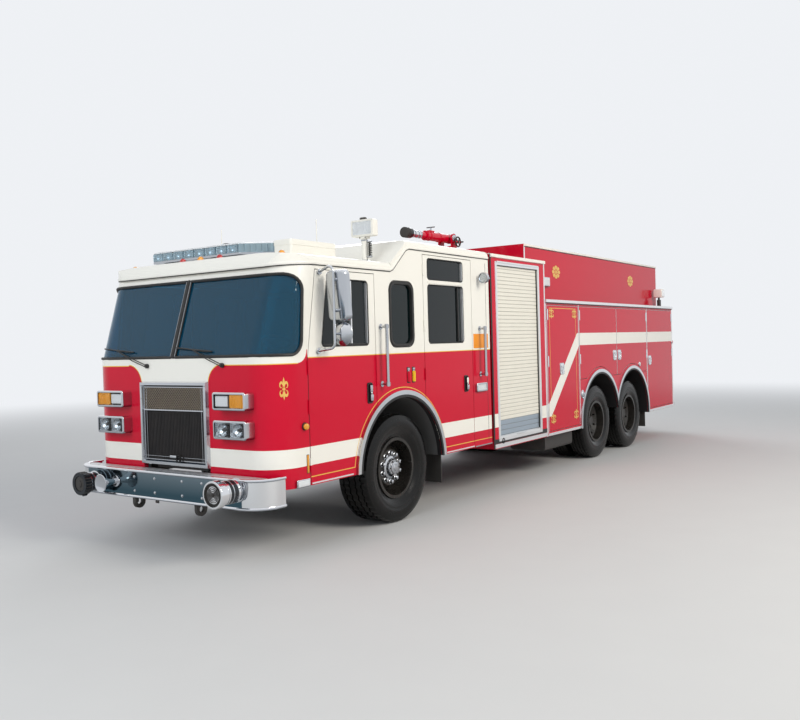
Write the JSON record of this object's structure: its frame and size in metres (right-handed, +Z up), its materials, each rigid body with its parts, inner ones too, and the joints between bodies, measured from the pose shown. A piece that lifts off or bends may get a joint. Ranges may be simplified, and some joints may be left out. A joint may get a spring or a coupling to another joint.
{
  "type": "fire engine",
  "caption": "Custom-cab fire engine with tandem rear axle, crew doors, body lockers, hose bed, roof deck gun and light mast; doors, steering and wheels move.",
  "frame": {"origin": "on the ground under the middle of the vehicle's length and width", "axes": "-Y is forward, +X is the vehicle's left (driver's) side, +Z up"},
  "size_m": [3.0462, 11.3, 3.1819],
  "materials": {
    "paint_red": "gloss",
    "white_paint": "gloss",
    "white_aluminium": "gloss",
    "chassis_black": "satin",
    "driveline_grey": "matte",
    "interior_grey": "matte",
    "interior_black": "matte",
    "seat_fabric": "matte",
    "glass": "gloss",
    "chrome": "mirror",
    "lens_clear": "gloss",
    "treadplate": "satin",
    "black_plastic": "matte",
    "shutter_slats": "satin",
    "gun_red": "gloss",
    "gun_black": "satin",
    "tyre": "matte",
    "rim_black": "gloss"
  },
  "bodies": {
    "root": {"arch_trims": "chrome", "body_shell": "paint_red", "bumper": "chrome", "bumper_fittings": "chrome", "cab_floor": "interior_grey", "cab_glass": "glass", "cab_interior": "interior_black", "cab_shell": "paint_red", "chassis_fittings": "chassis_black", "drivetrain": "driveline_grey", "frame_rails": "chassis_black", "front_axle": "chassis_black", "grille": "chrome", "lamp_bezels": "chrome", "lamp_lenses": "lens_clear", "lightbar": "lens_clear", "pump_house": "paint_red", "rails_and_ladder": "chrome", "rear_axles": "chassis_black", "roof_units": "white_paint", "seats": "seat_fabric", "shutters": "shutter_slats", "tank_and_hose_bed": "paint_red", "tread_decks": "treadplate", "wipers": "black_plastic"},
    "front_door_body_left": {"front_door_left": "paint_red", "front_door_glass_left": "glass", "mirror_left": "chrome"},
    "crew_door_body_left": {"crew_door_left": "paint_red", "crew_door_glass_left": "glass"},
    "steering_left": {"knuckle_left": "chassis_black"},
    "front_wheel_left": {"front_tyre_left": "tyre", "front_rim_left": "rim_black"},
    "rear_wheel_1_left": {"rear_tyres_1_left": "tyre", "rear_rims_1_left": "rim_black"},
    "rear_wheel_2_left": {"rear_tyres_2_left": "tyre", "rear_rims_2_left": "rim_black"},
    "locker_front_left": {"locker_door_front_left": "paint_red"},
    "locker_over_wheel_front_left": {"locker_door_over_wheel_front_left": "paint_red"},
    "locker_over_wheel_rear_left": {"locker_door_over_wheel_rear_left": "paint_red"},
    "locker_rear_left": {"locker_door_rear_left": "paint_red"},
    "front_door_body_right": {"front_door_right": "paint_red", "front_door_glass_right": "glass", "mirror_right": "chrome"},
    "crew_door_body_right": {"crew_door_right": "paint_red", "crew_door_glass_right": "glass"},
    "steering_right": {"knuckle_right": "chassis_black"},
    "front_wheel_right": {"front_tyre_right": "tyre", "front_rim_right": "rim_black"},
    "rear_wheel_1_right": {"rear_tyres_1_right": "tyre", "rear_rims_1_right": "rim_black"},
    "rear_wheel_2_right": {"rear_tyres_2_right": "tyre", "rear_rims_2_right": "rim_black"},
    "locker_front_right": {"locker_door_front_right": "paint_red"},
    "locker_over_wheel_front_right": {"locker_door_over_wheel_front_right": "paint_red"},
    "locker_over_wheel_rear_right": {"locker_door_over_wheel_rear_right": "paint_red"},
    "locker_rear_right": {"locker_door_rear_right": "paint_red"},
    "light_mast": {"mast_head": "white_aluminium"},
    "gun_slew_body": {"gun_base": "gun_red"},
    "gun_barrel_body": {"gun_barrel": "gun_black"}
  },
  "joints": [
    {"name": "front_door_left", "type": "hinge", "parent": "root", "child": "front_door_body_left", "pos_m": [1.238, -4.77, 1.5], "axis": [0, 0, -1], "range_deg": [0, 70]},
    {"name": "crew_door_left", "type": "hinge", "parent": "root", "child": "crew_door_body_left", "pos_m": [1.238, -2.94, 1.5], "axis": [0, 0, -1], "range_deg": [0, 75]},
    {"name": "steer_left", "type": "hinge", "parent": "root", "child": "steering_left", "pos_m": [0.83, -3.36, 0.54], "axis": [0, 0, 1], "range_deg": [-35, 35]},
    {"name": "front_wheel_left", "type": "hinge", "parent": "steering_left", "child": "front_wheel_left", "pos_m": [0.9825, -3.36, 0.54], "axis": [1, 0, 0], "continuous": true},
    {"name": "rear_wheel_1_left", "type": "hinge", "parent": "root", "child": "rear_wheel_1_left", "pos_m": [0.87, 1.8, 0.54], "axis": [1, 0, 0], "continuous": true},
    {"name": "rear_wheel_2_left", "type": "hinge", "parent": "root", "child": "rear_wheel_2_left", "pos_m": [0.87, 3.17, 0.54], "axis": [1, 0, 0], "continuous": true},
    {"name": "locker_front_left", "type": "hinge", "parent": "root", "child": "locker_front_left", "pos_m": [1.238, 0.007, 1.5], "axis": [0, 0, -1], "range_deg": [0, 90]},
    {"name": "locker_over_wheel_front_left", "type": "hinge", "parent": "root", "child": "locker_over_wheel_front_left", "pos_m": [1.238, 1.06, 1.5], "axis": [0, 0, -1], "range_deg": [0, 90]},
    {"name": "locker_over_wheel_rear_left", "type": "hinge", "parent": "root", "child": "locker_over_wheel_rear_left", "pos_m": [1.238, 3.882, 1.5], "axis": [0, 0, 1], "range_deg": [0, 90]},
    {"name": "locker_rear_left", "type": "hinge", "parent": "root", "child": "locker_rear_left", "pos_m": [1.238, 5.24, 1.5], "axis": [0, 0, 1], "range_deg": [0, 90]},
    {"name": "front_door_right", "type": "hinge", "parent": "root", "child": "front_door_body_right", "pos_m": [-1.238, -4.77, 1.5], "axis": [0, 0, 1], "range_deg": [0, 70]},
    {"name": "crew_door_right", "type": "hinge", "parent": "root", "child": "crew_door_body_right", "pos_m": [-1.238, -2.94, 1.5], "axis": [0, 0, 1], "range_deg": [0, 75]},
    {"name": "steer_right", "type": "hinge", "parent": "root", "child": "steering_right", "pos_m": [-0.83, -3.36, 0.54], "axis": [0, 0, 1], "range_deg": [-35, 35]},
    {"name": "front_wheel_right", "type": "hinge", "parent": "steering_right", "child": "front_wheel_right", "pos_m": [-0.9825, -3.36, 0.54], "axis": [1, 0, 0], "continuous": true},
    {"name": "rear_wheel_1_right", "type": "hinge", "parent": "root", "child": "rear_wheel_1_right", "pos_m": [-0.87, 1.8, 0.54], "axis": [1, 0, 0], "continuous": true},
    {"name": "rear_wheel_2_right", "type": "hinge", "parent": "root", "child": "rear_wheel_2_right", "pos_m": [-0.87, 3.17, 0.54], "axis": [1, 0, 0], "continuous": true},
    {"name": "locker_front_right", "type": "hinge", "parent": "root", "child": "locker_front_right", "pos_m": [-1.238, 0.007, 1.5], "axis": [0, 0, 1], "range_deg": [0, 90]},
    {"name": "locker_over_wheel_front_right", "type": "hinge", "parent": "root", "child": "locker_over_wheel_front_right", "pos_m": [-1.238, 1.06, 1.5], "axis": [0, 0, 1], "range_deg": [0, 90]},
    {"name": "locker_over_wheel_rear_right", "type": "hinge", "parent": "root", "child": "locker_over_wheel_rear_right", "pos_m": [-1.238, 3.882, 1.5], "axis": [0, 0, -1], "range_deg": [0, 90]},
    {"name": "locker_rear_right", "type": "hinge", "parent": "root", "child": "locker_rear_right", "pos_m": [-1.238, 5.24, 1.5], "axis": [0, 0, -1], "range_deg": [0, 90]},
    {"name": "mast_lift", "type": "slide", "parent": "root", "child": "light_mast", "axis": [0, 0, 1], "range_m": [0, 0.18]},
    {"name": "gun_slew", "type": "hinge", "parent": "root", "child": "gun_slew_body", "pos_m": [0.25, -0.84, 2.96], "axis": [0, 0, 1], "range_deg": [-120, 120]},
    {"name": "gun_elevation", "type": "hinge", "parent": "gun_slew_body", "child": "gun_barrel_body", "pos_m": [0.25, -0.84, 3.12], "axis": [-1, 0, 0], "range_deg": [-5, 80]}
  ],
  "couplings": [
    {"joint": "steer_right", "follows": "steer_left", "ratio": 1}
  ]
}
